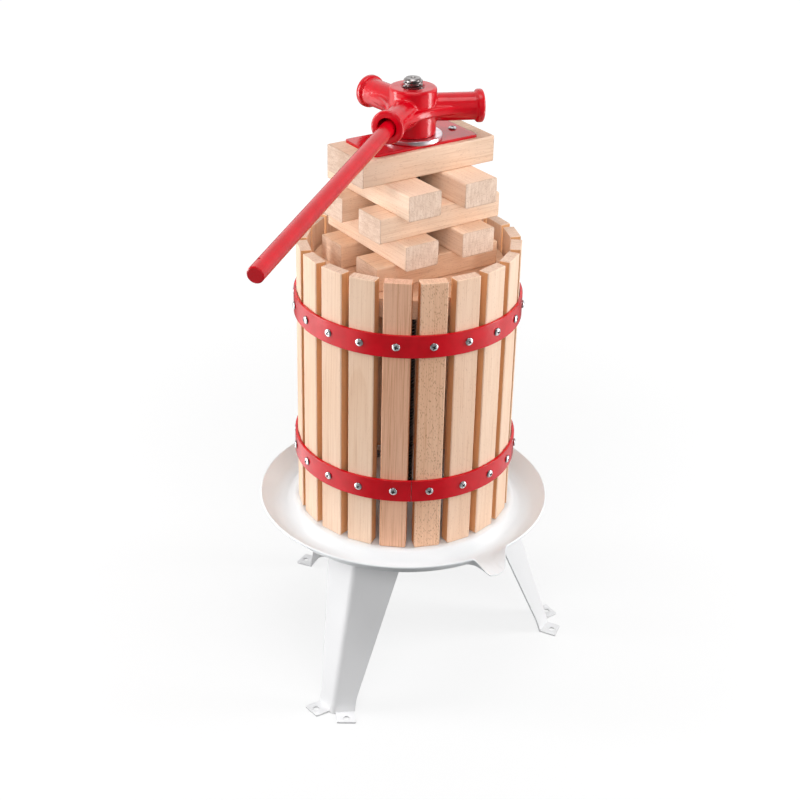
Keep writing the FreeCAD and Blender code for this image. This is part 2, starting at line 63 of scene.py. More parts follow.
def makeCamera(fit):
    tilt, roll = math.radians(fit["elevation"]), math.radians(fit["roll"])
    back = Vector((0, -math.cos(tilt), math.sin(tilt)))
    right = Vector((1, 0, 0))
    up = back.cross(right)
    across = right * math.cos(roll) + up * math.sin(roll)
    upward = up * math.cos(roll) - right * math.sin(roll)
    place = back * fit["distance"] + across * fit["across"] + upward * fit["up"]
    turn = Matrix.Rotation(math.radians(fit["turn"]), 3, "Z")
    facing = Matrix((turn @ across, turn @ upward, turn @ back)).transposed().to_4x4()
    data = bpy.data.cameras.new("camera")
    data.sensor_width = fit["sensorWidth"]
    data.lens = fit["focal"] / fit["pictureWidth"] * fit["sensorWidth"]
    camera = bpy.data.objects.new("camera", data)
    bpy.context.scene.collection.objects.link(camera)
    aim = Vector((0, 0, fit["aimHeight"]))
    camera.matrix_world = Matrix.Translation(turn @ place + aim) @ facing
    bpy.context.scene.camera = camera


makeCamera(cameraFit)


# Node trees, for finishes and for shapes, with their maths as plain expressions

class Wire:
    # A socket of a tree, which can stand in an expression
    def __init__(self, maker, socket):
        self.maker, self.socket = maker, socket

    def maths(self, operation, *others, clamp=False):
        made = self.maker.tree.nodes.new("ShaderNodeMath")
        made.operation, made.use_clamp = operation, clamp
        for index, value in enumerate((self,) + others):
            self.maker.feed(made.inputs[index], value)
        return Wire(self.maker, made.outputs[0])

    def __add__(self, other):
        return self.maths("ADD", other)

    def __radd__(self, other):
        return self.maths("ADD", other)

    def __sub__(self, other):
        return self.maths("SUBTRACT", other)

    def __rsub__(self, other):
        return self.maker.constant(other).maths("SUBTRACT", self)

    def __mul__(self, other):
        return self.maths("MULTIPLY", other)

    def __rmul__(self, other):
        return self.maths("MULTIPLY", other)

    def __truediv__(self, other):
        return self.maths("DIVIDE", other)

    def __neg__(self):
        return self.maths("MULTIPLY", -1.0)

    def power(self, other):
        return self.maths("POWER", other)

    def size(self):
        return self.maths("ABSOLUTE")

    def sine(self):
        return self.maths("SINE")

    def cosine(self):
        return self.maths("COSINE")

    def whole(self):
        return self.maths("FLOOR")

    def least(self, other):
        return self.maths("MINIMUM", other)

    def most(self, other):
        return self.maths("MAXIMUM", other)

    def held(self):
        # Kept from 0 to 1
        return self.maths("ADD", 0.0, clamp=True)

    def between(self, low, high):
        # 0 below low, 1 above high, smooth between the two
        return self.maker.node("ShaderNodeMapRange", {"interpolation_type": "SMOOTHSTEP"}, {
            "Value": self, "From Min": low, "From Max": high})


class Maker:
    # Adds nodes to a tree: a node's settings are set first, then the values or links of its inputs
    def feed(self, socket, value):
        if isinstance(value, Wire):
            self.tree.links.new(value.socket, socket)
        else:
            socket.default_value = value

    def node(self, kind, settings=None, inputs=None, output=0):
        made = self.tree.nodes.new(kind)
        for name, value in (settings or {}).items():
            setattr(made, name, value)
        for key, value in (inputs or {}).items():
            self.feed(made.inputs[key], value)
        return Wire(self, made.outputs[output]) if made.outputs else made

    def constant(self, value):
        made = self.tree.nodes.new("ShaderNodeValue")
        made.outputs[0].default_value = value
        return Wire(self, made.outputs[0])

    def parts(self, spot):
        made = self.tree.nodes.new("ShaderNodeSeparateXYZ")
        self.feed(made.inputs[0], spot)
        return [Wire(self, made.outputs[index]) for index in range(3)]

    def point(self, x, y, z):
        return self.node("ShaderNodeCombineXYZ", {}, {0: x, 1: y, 2: z})


class Finish(Maker):
    # A material's tree
    def __init__(self, name):
        self.material = bpy.data.materials.new(name)
        self.material.use_nodes = True
        self.tree = self.material.node_tree
        self.tree.nodes.clear()

    def spot(self):
        # Object coordinates
        return self.node("ShaderNodeTexCoord", output=3)

    def place(self, turn, shift):
        # Object coordinates from the piece's middle, turned so that its length runs along Z
        return self.node("ShaderNodeMapping", {"vector_type": "TEXTURE"}, {
            "Vector": self.spot(), "Location": shift, "Rotation": turn})

    def turned(self, spot, turn, scale=(1.0, 1.0, 1.0)):
        return self.node("ShaderNodeMapping", {"vector_type": "POINT"}, {
            "Vector": spot, "Rotation": turn, "Scale": scale})

    def scaled(self, spot, across, along):
        return self.node("ShaderNodeMapping", {"vector_type": "POINT"}, {
            "Vector": spot, "Scale": (across, across, along)})

    def noise(self, spot, scale, detail=2.0, rough=0.5):
        return self.node("ShaderNodeTexNoise", {"noise_dimensions": "3D"}, {
            "Vector": spot, "Scale": scale, "Detail": detail, "Roughness": rough})

    def cells(self, spot):
        # Distance from each cell's own point, and a number from 0 to 1 for each cell
        distance = self.node("ShaderNodeTexVoronoi", {"feature": "F1"}, {
            "Vector": spot, "Scale": 1.0})
        colour = Wire(self, distance.socket.node.outputs["Color"])
        return distance, self.parts(colour)[0]

    def blend(self, factor, first, second, kind="MIX"):
        made = self.tree.nodes.new("ShaderNodeMix")
        made.data_type, made.blend_type = "RGBA", kind
        for index, value in ((0, factor), (6, first), (7, second)):
            self.feed(made.inputs[index], value)
        return Wire(self, made.outputs[2])

    def bump(self, height, distance, strength=1.0, edge=0.0):
        inputs = {"Height": height, "Distance": distance, "Strength": strength}
        if edge:
            # Sharp edges are worn or painted round
            inputs["Normal"] = self.rounded(edge)
        return self.node("ShaderNodeBump", {}, inputs)

    def rounded(self, edge):
        return self.node("ShaderNodeBevel", {"samples": 4}, {"Radius": edge})

    def nearEdge(self, edge):
        # 1 on a sharp edge, 0 a little way from it
        straight = self.node("ShaderNodeNewGeometry", output=1)
        match = self.node("ShaderNodeVectorMath", {"operation": "DOT_PRODUCT"}, {
            0: self.rounded(edge), 1: straight}, 1)
        return (1.0 - match).between(0.0, 0.2)

    def surface(self, inputs):
        shader = self.tree.nodes.new("ShaderNodeBsdfPrincipled")
        for key, value in inputs.items():
            self.feed(shader.inputs[key], value)
        out = self.tree.nodes.new("ShaderNodeOutputMaterial")
        self.tree.links.new(shader.outputs[0], out.inputs[0])
        return self.material


class Shape(Maker):
    # A geometry tree whose named inputs are the sizes of the piece
    def __init__(self, name, sizes, material):
        self.tree = bpy.data.node_groups.new(name, "GeometryNodeTree")
        face = self.tree.interface
        face.new_socket("Geometry", in_out="OUTPUT", socket_type="NodeSocketGeometry")
        face.new_socket("Geometry", in_out="INPUT", socket_type="NodeSocketGeometry")
        self.values = {}
        for label, value in sizes.items():
            kind = "NodeSocketInt" if isinstance(value, int) else "NodeSocketFloat"
            self.values[face.new_socket(label, in_out="INPUT", socket_type=kind).identifier] = value
        slot = face.new_socket("Material", in_out="INPUT", socket_type="NodeSocketMaterial")
        self.values[slot.identifier] = material
        self.start = self.tree.nodes.new("NodeGroupInput")

    def given(self, label):
        return Wire(self, self.start.outputs[label])

    def grid(self, columns, rows):
        # A sheet of points with its place in it, from 0 to 1 each way
        mesh = self.node("GeometryNodeMeshGrid", {}, {
            "Size X": 1.0, "Size Y": 1.0, "Vertices X": columns, "Vertices Y": rows})
        x, y, z = self.parts(self.node("GeometryNodeInputPosition"))
        return mesh, x + 0.5, y + 0.5

    def moved(self, mesh, x, y, z):
        return self.node("GeometryNodeSetPosition", {}, {
            "Geometry": mesh, "Position": self.point(x, y, z)})

    def joined(self, *meshes):
        made = self.tree.nodes.new("GeometryNodeJoinGeometry")
        for mesh in meshes:
            self.tree.links.new(mesh.socket, made.inputs[0])
        return Wire(self, made.outputs[0])

    def merged(self, mesh, distance):
        return self.node("GeometryNodeMergeByDistance", {}, {
            "Geometry": mesh, "Distance": distance})

    def flipped(self, mesh):
        return self.node("GeometryNodeFlipFaces", {}, {"Mesh": mesh})

    def close(self, mesh):
        real = self.node("GeometryNodeRealizeInstances", {}, {"Geometry": mesh})
        coated = self.node("GeometryNodeSetMaterial", {}, {
            "Geometry": real, "Material": self.given("Material")})
        end = self.tree.nodes.new("NodeGroupOutput")
        self.tree.links.new(coated.socket, end.inputs[0])

    def grow(self, name, base=None, sharp=30.0):
        # The tree's result as a plain mesh, with hard edges where faces meet at more than the angle
        piece = addPiece(name, base or bpy.data.meshes.new(name))
        modifier = piece.modifiers.new("shape", "NODES")
        modifier.node_group = self.tree
        for identifier, value in self.values.items():
            modifier[identifier] = value
        return settled(piece, sharp)


def addPiece(name, mesh):
    piece = bpy.data.objects.new(name, mesh)
    bpy.context.scene.collection.objects.link(piece)
    return piece


def settled(piece, sharp=30.0):
    # Applies the modifiers, smooths the faces and keeps the sharp edges
    bpy.context.view_layer.update()
    finished = piece.evaluated_get(bpy.context.evaluated_depsgraph_get())
    made = bpy.data.meshes.new_from_object(finished)
    piece.modifiers.clear()
    piece.data = made
    made.name = piece.name
    for face in made.polygons:
        face.use_smooth = True
    made.set_sharp_from_angle(angle=math.radians(sharp))
    return piece


def tone(red, green, blue):
    # A colour as it looks on a screen, 0 to 255, as the linear one that a socket takes
    def linear(level):
        level = level / 255.0
        return level / 12.92 if level <= 0.04045 else ((level + 0.055) / 1.055) ** 2.4
    return (linear(red), linear(green), linear(blue), 1.0)


def dress(name, material):
    piece = nodes[name] if name in nodes else bpy.data.objects[name]
    piece.data.materials.clear()
    piece.data.materials.append(material)
    for face in piece.data.polygons:
        face.material_index = 0


# Beech, one finish for each piece, because each is cut from another part of the tree

beech = {
    "pale": (253, 226, 203),
    "deep": (243, 209, 181),
    "line": (204, 156, 120),
    "fleck": (170, 118, 86),
    "end": (244, 219, 200),
    "endLine": (205, 168, 142),
    "pore": (170, 124, 96),
    # painted shade for the side faces in the gaps between staves
    "gapShade": (232, 202, 166),
    # painted shade along the sharp edges
    "edgeShade": (176, 124, 92),
    "torn": (255, 244, 232),
    "heart": 0.09,             # from the piece to the heart of its tree
    "ringWidth": 0.003,
    "ringLean": 0.03,
    "swayAcross": 0.014,
    "swayDeep": 0.018,
    "wobbleReach": 0.0016,
    "sway": (7.0, 1.8),        # waves in a metre, across the grain and along it
    "wobble": (70.0, 8.0),
    "patch": (30.0, 5.0),
    "fibre": (800.0, 14.0),
    "streak": (640.0, 9.0),
    "pores": (700.0, 30.0),
    "tornFibres": (900.0, 520.0),
    "rays": (460.0, 90.0, 30.0),
    "fleckWidth": 0.00055,
    "fleckLength": 0.0036,
    "fleckLean": 0.12,
    "tornReach": 0.003,
    "relief": 0.00014,
    "gloss": 0.12}


def alongGrain(finish, spot, pattern, detail=2.0, rough=0.5):
    # Noise about zero, drawn out along the grain
    return finish.noise(finish.scaled(spot, *beech[pattern]), 1.0, detail, rough) - 0.5


def yearRings(finish, spot, off):
    # The dark edges of the year rings, round a heart that lies beside the piece
    across, depth, along = finish.parts(spot)
    sway = alongGrain(finish, spot, "sway")
    heartX = beech["heart"] * (0.4 + 0.8 * off[0])
    heartY = beech["heart"] * (1.0 + 0.5 * off[1])
    x = across - heartX + sway * beech["swayAcross"] + along * (beech["ringLean"] * off[2])
    y = depth - heartY + sway * beech["swayDeep"]
    radius = (x * x + y * y).power(0.5) + alongGrain(finish, spot, "wobble") * beech["wobbleReach"]
    width = beech["ringWidth"] * (1.0 + 0.25 * off[3])
    ring = (radius / width + (40.0 + off[4])).maths("FRACT")
    return ring.between(0.45, 0.92) * (1.0 - ring.between(0.94, 1.0))


def rayFlecks(finish, spot, lean, flecks):
    # Short dark flecks, wider and more of them on a board that shows its rays
    leaning = finish.turned(spot, (0.0, beech["fleckLean"] * (1.0 + lean), 0.0))
    width = beech["fleckWidth"] * (1.0 + 0.7 * flecks)
    fleck, chance = finish.cells(finish.scaled(leaning, 1.0 / width, 1.0 / beech["fleckLength"]))
    share = 0.05 + 0.4 * flecks
    return (1.0 - fleck.between(0.16, 0.46)) * (1.0 - chance.between(share, share + 0.05))


def makeBeech(name, turn, centre, seed, tint, flecks, streaks, gapShade=0.0, torn=0.0, edge=0.0009):
    pick = random.Random(seed)
    off = [pick.uniform(-1.0, 1.0) for _ in range(6)]
    finish = Finish(name)
    spot = finish.place(turn, centre)
    line = yearRings(finish, spot, off)
    fleck = rayFlecks(finish, spot, off[5], flecks)
    fibre = alongGrain(finish, spot, "fibre", 3.0, 0.6)
    streak = alongGrain(finish, spot, "streak", 3.0, 0.7)
    patch = alongGrain(finish, spot, "patch")

    # End grain shows where a face looks along the length; painted shade darkens the faces that look
    # across it, into the gaps between staves
    facing = finish.node("ShaderNodeTexCoord", output=1)
    faceAcross, faceDepth, faceAlong = finish.parts(finish.node(
        "ShaderNodeMapping", {"vector_type": "TEXTURE"}, {"Vector": facing, "Rotation": turn}))
    endFace = faceAlong.size().between(0.8, 0.92)
    gapShadeFace = faceAcross.size().between(0.8, 0.95) * gapShade
    pore, chance = finish.cells(finish.scaled(spot, *beech["pores"]))
    pores = (1.0 - pore.between(0.2, 0.5)) * (1.0 - chance.between(0.3, 0.4))
    raysTurned = finish.turned(spot, (0, 0, 0.8 + 0.5 * off[5]), beech["rays"])
    rays = finish.noise(raysTurned, 1.0, 3.0, 0.7) - 0.5

    side = finish.blend((0.5 + patch * 1.8 + fibre * 0.9).held(),
                        tone(*beech["pale"]), tone(*beech["deep"]))
    lines = line * (0.07 + patch * 0.4) + fibre.between(0.03, 0.28) * 0.34
    lines = lines + streak.between(-0.04, 0.26) * streaks
    side = finish.blend(lines.held(), side, tone(*beech["line"]))
    side = finish.blend((fleck * (0.2 + 0.55 * flecks)).held(), side, tone(*beech["fleck"]))
    # Painted shade: darker, warmer side faces where they look into the gaps between staves
    side = finish.blend(gapShadeFace, side, tone(*beech["gapShade"]), "MULTIPLY")
    end = finish.blend((rays * 1.5 + 0.3 + line * 0.1 + patch).held(),
                       tone(*beech["end"]), tone(*beech["endLine"]))
    end = finish.blend((pores * 0.35).held(), end, tone(*beech["pore"]))
    colour = finish.blend(endFace, side, end)
    # Painted shade: darker along the sharp edges, in patches
    edgeShade = (finish.nearEdge(edge) * (0.34 + patch)).held()
    colour = finish.blend(edgeShade, colour, tone(*beech["edgeShade"]))
    if torn:
        # The long edges were left rough by the saw, with pale fibres standing out
        rough = alongGrain(finish, spot, "tornFibres").between(-0.06, 0.04)
        strands = (finish.nearEdge(beech["tornReach"]) * rough * torn).held()
        colour = finish.blend(strands, colour, tone(*beech["torn"]))
    colour = finish.blend(1.0, colour, tone(*tint), "MULTIPLY")
    height = fibre * 0.5 + streak * streaks + line * 0.3 - fleck * 0.8
    height = height + (rays * 0.8 - pores) * endFace
    return finish.surface({
        "Base Color": colour,
        "Roughness": (0.6 + fibre * 0.16 + endFace * 0.14).held(),
        "Specular IOR Level": beech["gloss"],
        "Normal": finish.bump(height, beech["relief"], 0.8, edge)})


# Painted and bare metal

redPaint = {
    "colour": (214, 4, 28),
    "deep": (199, 2, 22),
    "waves": 60.0,             # in a metre
    "grain": 420.0,
    "relief": 0.0006,
    "gloss": 0.4}

whitePaint = {
    "tray": (238, 241, 243),
    "legs": (237, 237, 238),
    "cloud": 5,                # levels between the lightest and the darkest
    "clouds": 9.0,
    "grain": 800.0,
    "relief": 0.00008,
    "roughness": 0.34,
    "gloss": 0.35}

steel = {
    # painted shade in the screws' recess and round their rim
    "paintedShade": (22, 21, 23),
    # grease, and painted shade for the spindle inside the basket
    "greaseAndShade": (84, 78, 74),
    "dull": 0.8,
    "grain": 700.0,
    "clouds": 90.0,
    "turnedRings": 5200.0,
    "relief": 0.00005}


def makeRed(name, waviness, roughness, edge=0.0):
    finish = Finish(name)
    wave = finish.noise(finish.spot(), redPaint["waves"], 3.0, 0.55)
    grain = finish.noise(finish.spot(), redPaint["grain"], 2.0)
    return finish.surface({
        "Base Color": finish.blend(
            wave.between(0.3, 0.7), tone(*redPaint["colour"]), tone(*redPaint["deep"])),
        "Roughness": (roughness + (grain - 0.5) * 0.1).held(),
        "Specular IOR Level": redPaint["gloss"],
        "Normal": finish.bump(wave * waviness + grain * 0.1, redPaint["relief"], 0.6, edge)})


def makeWhite(name, colour, edge=0.0):
    finish = Finish(name)
    grain = finish.noise(finish.spot(), whitePaint["grain"], 2.0)
    cloud = finish.noise(finish.spot(), whitePaint["clouds"], 2.0)
    darker = [level - whitePaint["cloud"] for level in colour]
    return finish.surface({
        "Base Color": finish.blend(cloud.between(0.35, 0.65), tone(*colour), tone(*darker)),
        "Roughness": (whitePaint["roughness"] + (grain - 0.5) * 0.15).held(),
        "Specular IOR Level": whitePaint["gloss"],
        "Normal": finish.bump(grain, whitePaint["relief"], 0.5, edge)})


def makeSteel(name, colour, roughness, turning=0.0, edge=0.0, withPaintedShade=False, darkBelow=None):
    finish = Finish(name)
    spot = finish.spot()
    x, y, z = finish.parts(spot)
    cloud = finish.noise(spot, steel["clouds"], 3.0)
    height = finish.noise(spot, steel["grain"], 3.0, 0.6) * 0.25
    dull = cloud.between(0.35, 0.7)
    dark = tone(*[level * steel["dull"] for level in colour])
    if turning:
        # Fine rings from the lathe, round the press's own axis
        height = height + ((x * x + y * y).power(0.5) * steel["turnedRings"]).sine() * turning
    if darkBelow:
        # Bright only at the top and dark below: grease, and painted shade for the spindle inside
        # the basket
        brightTop = z.between(*darkBelow)
        dark = finish.blend(brightTop, tone(*steel["greaseAndShade"]), dark)
        dull = (dull + 1.0 - brightTop).held()
    metal = finish.blend(dull, tone(*colour), dark)
    if withPaintedShade:
        # Painted shade: dark in the recess and round the rim
        paintedShade = finish.node("ShaderNodeAttribute", {"attribute_name": "paintedShade"}, {}, 2)
        metal = finish.blend(paintedShade.held(), metal, tone(*steel["paintedShade"]))
    return finish.surface({
        "Base Color": metal,
        "Metallic": 1.0,
        "Roughness": (roughness + (cloud - 0.5) * 0.16).held(),
        "Normal": finish.bump(height, steel["relief"], 0.6, edge)})


brightSteel = makeSteel("bright_steel", (243, 243, 246), 0.27, withPaintedShade=True)
dullSteel = makeSteel("dull_steel", (176, 176, 180), 0.34, edge=0.0004)


# Basket: the staves keep their shapes, each with its own board of beech

basket = {
    "count": 20,
    "turn": -5.0,
    "radius": 0.115,
    "boardStart": 0.2,         # where in its tree each stave was cut
    "boardStep": 0.013,
    "tint": (255, 253, 252),   # most staves, and below those that differ, counted from 0
    "tints": {17: (255, 252, 249), 18: (254, 229, 217), 19: (254, 236, 223), 0: (254, 247, 243)},
    "flecks": {19: 1.0, 0: 0.25, 1: 0.2},
    "streaks": {18: 0.8, 19: 0.4},
    "torn": {19: 1.0}}


def dressBasket():
    for index in range(basket["count"]):
        name = "stave_%02d" % (index + 1)
        azimuth = math.radians(basket["turn"] + 360.0 / basket["count"] * index)
        centre = (basket["radius"] * math.sin(azimuth), -basket["radius"] * math.cos(azimuth),
                  basket["boardStart"] + basket["boardStep"] * index)
        dress(name, makeBeech(
            "beech_" + name, (0, 0, azimuth), centre, seed=100 + index,
            tint=basket["tints"].get(index, basket["tint"]),
            flecks=basket["flecks"].get(index, 0.08),
            streaks=basket["streaks"].get(index, 0.22),
            gapShade=1.0, torn=basket["torn"].get(index, 0.0)))
    for name in ("upper_hoop", "lower_hoop"):
        dress(name, makeRed("red_" + name, waviness=0.25, roughness=0.2, edge=0.0008))


# Stack: blocks and boards lie along X or Y, the beam with the blocks below it

quarterTurn = math.pi / 2.0
alongX = (0, quarterTurn, 0)
alongY = (quarterTurn, 0, 0)

# How each piece lies, and its tint. The press boards' darker tint is painted shade, for the shadow
# they lie in inside the basket
stack = {
    "press_board_left": (alongX, (236, 222, 210)),
    "press_board_right": (alongX, (236, 222, 210)),
    "top_beam": (alongX, (242, 239, 237)),
    "block_1_front": (alongX, (250, 243, 236)),
    "block_1_back": (alongX, (250, 243, 236)),
    "block_2_right": (alongY, (255, 255, 255)),
    "block_2_left": (alongY, (255, 255, 255)),
    "block_3_front": (alongX, (255, 255, 255)),
    "block_3_back": (alongX, (255, 255, 255)),
    "block_4_right": (alongY, (255, 255, 255)),
    "block_4_left": (alongY, (255, 255, 255))}


def dressStack():
    for index, (name, (turn, tint)) in enumerate(stack.items()):
        low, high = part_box(name)
        dress(name, makeBeech(
            "beech_" + name, turn, tuple((low + high) / 2.0), seed=300 + index,
            tint=tint, flecks=0.35, streaks=0.32, edge=0.0015))
    dress("bearing_plate", makeRed("red_plate", waviness=0.3, roughness=0.14, edge=0.0013))
    dress("thrust_washer", makeSteel("washer_steel", (238, 224, 231), 0.3, turning=0.3))


dressBasket()
dressStack()
print("basket and stack dressed")


# Screws: a pan head with a cross recess, on a plain shank with a point

screw = {
    "headRadius": 0.0044,
    "headHeight": 0.0025,
    "rimHeight": 0.28,         # share of the head's height that is straight
    "seatRadius": 0.96,        # share of the head's radius
    "shankRadius": 0.002,
    "length": 0.0125,
    "pointStart": 0.7,         # share of the length
    "crossReach": 0.0031,
    "crossWidth": 0.0015,
    "crossDepth": 0.0019,
    "crossTaper": (0.45, 0.6),  # shares of reach and width at the bottom
    "crossProud": 0.001,       # how far its cutter stands above the head
    "crossEnd": 0.68,          # share of the head's radius that its painted shade reaches
    "crossShade": 0.95,
    "rimShade": (0.74, 3.0),   # share of the radius where it starts, and its growth from there
    "domeSteps": 6,
    "segments": 32,
    "ringSeed": 7,
    "pairSeed": 3,
    "pairTurn": 88.9}


def lathed(outline, segments):
    # A mesh turned about Z from radii and heights that start and end on the axis
    mesh = bpy.data.meshes.new("lathed")
    form = bmesh.new()
    rows = []
    for radius, height in outline:
        steps = segments if radius > 0.0 else 1
        row = []
        for step in range(steps):
            angle = 2.0 * math.pi * step / segments
            row.append(form.verts.new((radius * math.cos(angle), radius * math.sin(angle), height)))
        rows.append(row)
    for lower, upper in zip(rows, rows[1:]):
        for step in range(segments):
            after = (step + 1) % segments
            ring = [lower[step % len(lower)], lower[after % len(lower)],
                    upper[after % len(upper)], upper[step % len(upper)]]
            form.faces.new(list(dict.fromkeys(ring)))
    bmesh.ops.recalc_face_normals(form, faces=form.faces)
    form.to_mesh(mesh)
    form.free()
    return mesh


def crossCutter(name, turn):
    # One arm of the cross, narrower at its bottom
    reachTaper, widthTaper = screw["crossTaper"]
    form = bmesh.new()
    bmesh.ops.create_cube(form, size=1.0)
    for vert in form.verts:
        deep = vert.co.z < 0
        x = vert.co.x * 2.0 * screw["crossReach"] * (reachTaper if deep else 1.0)
        y = vert.co.y * screw["crossWidth"] * (widthTaper if deep else 1.0)
        height = screw["headHeight"] + (-screw["crossDepth"] if deep else screw["crossProud"])
        vert.co = (x * math.cos(turn) - y * math.sin(turn),
                   x * math.sin(turn) + y * math.cos(turn), height)
    mesh = bpy.data.meshes.new("cross")
    form.to_mesh(mesh)
    form.free()
    return addPiece(name, mesh)


def shadeScrew(mesh):
    # How much painted shade each face takes: the recess, and the rim a little
    paintedShade = mesh.attributes.new("paintedShade", "FLOAT", "FACE")
    rimStart, rimGrowth = screw["rimShade"]
    for face in mesh.polygons:
        place = face.center
        aside = min(abs(place.x), abs(place.y))
        away = math.hypot(place.x, place.y) / screw["headRadius"]
        inCross = aside < screw["crossWidth"] * 0.5 and away < screw["crossEnd"]
        sunk = place.z < screw["headHeight"] * 0.8 or face.normal.z < 0.7
        onRim = max(0.0, away - rimStart) * rimGrowth
        paintedShade.data[face.index].value = screw["crossShade"] if inCross and sunk else onRim


def screwMesh():
    radius, height, rim = screw["headRadius"], screw["headHeight"], screw["rimHeight"]
    outline = [(0.0, -screw["length"]),
               (screw["shankRadius"], -screw["length"] * screw["pointStart"]),
               (screw["shankRadius"], 0.0),
               (radius * screw["seatRadius"], 0.0)]
    for step in range(screw["domeSteps"]):
        angle = math.radians(90.0 * step / screw["domeSteps"])
        outline.append((radius * math.cos(angle), height * (rim + (1.0 - rim) * math.sin(angle))))
    outline.append((0.0, height))
    head = addPiece("screw_master", lathed(outline, screw["segments"]))
    cutters = [crossCutter("cross_0", 0.0), crossCutter("cross_1", quarterTurn)]
    for cutter in cutters:
        cut = head.modifiers.new("cross", "BOOLEAN")
        cut.operation, cut.solver, cut.object = "DIFFERENCE", "EXACT", cutter
    settled(head)
    mesh = head.data
    shadeScrew(mesh)
    for piece in cutters + [head]:
        bpy.data.objects.remove(piece)
    return mesh


def screwRing(name, master, body, node, sizes, seed):
    # Screws in a ring, each turned as its last twist left it
    shape = Shape(name + "_shape", sizes, brightSteel)
    line = shape.node("GeometryNodeMeshLine", {"mode": "OFFSET"}, {
        "Count": shape.given("Count"), "Offset": (0.0, 0.0, 0.0)})
    azimuth = shape.node("GeometryNodeInputIndex") * shape.given("Step") + shape.given("Turn")
    sine, cosine = azimuth.sine(), azimuth.cosine()
    radius, upright = shape.given("Radius"), shape.given("Upright")
    spots = shape.moved(line, sine * radius, cosine * -1.0 * radius, shape.given("Height"))
    outward = shape.point(sine * (1.0 - upright), cosine * (upright - 1.0), upright)
    facing = shape.node("FunctionNodeAlignRotationToVector", {"axis": "Z"}, {"Vector": outward})
    twist = shape.node("FunctionNodeRandomValue", {"data_type": "FLOAT"}, {
        "Min": 0.0, "Max": math.pi, "Seed": seed}, 1)
    spin = shape.node("FunctionNodeAxisAngleToRotation", {}, {
        "Axis": (0.0, 0.0, 1.0), "Angle": twist})
    pose = shape.node("FunctionNodeRotateRotation", {"rotation_space": "LOCAL"}, {
        "Rotation": facing, "Rotate By": spin})
    shape.close(shape.node("GeometryNodeInstanceOnPoints", {}, {
        "Points": spots, "Instance": shape.given("Geometry"), "Rotation": pose}))
    piece = shape.grow(name, master.copy())
    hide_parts(node)
    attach(piece, body)


def makeScrews():
    master = screwMesh()
    for name in ("upper_hoop", "lower_hoop"):
        low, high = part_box(name)
        screwRing(name + "_screw_set", master, "basket", name + "_screws", {
            "Count": basket["count"],
            "Step": 2.0 * math.pi / basket["count"],
            "Turn": math.radians(basket["turn"]),
            "Radius": (high.x - low.x) / 2.0,
            "Height": (low.z + high.z) / 2.0,
            "Upright": 0.0}, screw["ringSeed"])
    low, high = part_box("plate_screws")
    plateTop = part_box("bearing_plate")[1].z
    screwRing("plate_screw_pair", master, "press_stack", "plate_screws", {
        "Count": 2,
        "Step": math.pi,
        "Turn": math.radians(screw["pairTurn"]),
        "Radius": (high.x - low.x) / 2.0 - screw["headRadius"],
        "Height": plateTop,
        "Upright": 1.0}, screw["pairSeed"])


makeScrews()
print("screws in place")


# Spindle: a trapezoidal thread of one start, right-handed, chamfered and drilled at both ends

thread = {
    "Columns": 49,
    "Crest radius": 0.01,
    "Root radius": 0.0077,
    "Pitch": 0.004,
    "Crest share": 0.36,
    "End radius": 0.0075,
    "Drill radius": 0.003,
    "Low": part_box("spindle")[0].z,
    "High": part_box("spindle")[1].z}
threadSeam = 0.00002           # points that are nearer than this are joined


def spindleEnd(shape, height, side):
    # The flat end with the lathe's centre hole in it
    mesh, u, v = shape.grid(shape.given("Columns"), 3)
    angle = u * (2.0 * math.pi)
    ring = v * 2.0
    inner = (ring - 1.0).most(0.0)
    end, drill = shape.given("End radius"), shape.given("Drill radius")
    radius = (end - ring * (end - drill)).most(0.0) * (1.0 - inner)
    mesh = shape.moved(mesh, angle.cosine() * radius, angle.sine() * radius,
                       height - inner * drill * side)
    return shape.flipped(mesh) if side > 0 else mesh


def makeSpindle():
    spindleSteel = makeSteel("spindle_steel", (150, 145, 144), 0.28, darkBelow=(0.6, 0.66))
    rows = 4 * (math.ceil((thread["High"] - thread["Low"]) / thread["Pitch"]) + 2)
    shape = Shape("spindle_shape", dict(thread, Rows=rows), spindleSteel)
    given = shape.given
    mesh, u, v = shape.grid(given("Columns"), given("Rows"))
    # Four rows to each turn, two on the crest and two on the root
    row = (v * (given("Rows") - 1.0) + 0.5).whole()
    flank = (row / 2.0).whole()
    level = flank * 0.5 + (row - flank * 2.0) * given("Crest share") + u - 1.5
    low, high, end = given("Low"), given("High"), given("End radius")
    height = (low + level * given("Pitch")).most(low).least(high)
    isRoot = flank - (flank / 2.0).whole() * 2.0
    radius = given("Crest radius") - isRoot * (given("Crest radius") - given("Root radius"))
    radius = radius.least(end + (high - height)).least(end + (height - low))
    angle = u * (2.0 * math.pi)
    shaft = shape.moved(mesh, angle.cosine() * radius, angle.sine() * radius, height)
    ends = [spindleEnd(shape, high, 1.0), spindleEnd(shape, low, -1.0)]
    shape.close(shape.merged(shape.joined(shaft, *ends), threadSeam))
    piece = shape.grow("spindle_threaded", sharp=35.0)
    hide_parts("spindle")
    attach(piece, "stand")


makeSpindle()
print("spindle threaded")


# Tray: one pressed sheet with a rolled rim, drawn out into the pouring spout

tray = {
    "Columns": 289,
    "Spout reach": 0.014,
    "Spout fall": 0.0025,
    "Spout start": 0.16,       # share of the way up the rim
    "Spout floor half angle": math.radians(2.4),
    "Spout mouth half angle": math.radians(8.6),
    "Spout tip half angle": math.radians(2.34),
    "Spout side half angle": math.radians(8.4),
    "Groove half angle": math.radians(2.6),
    "Groove rise": 0.0012,
    "Crowding": 0.25}

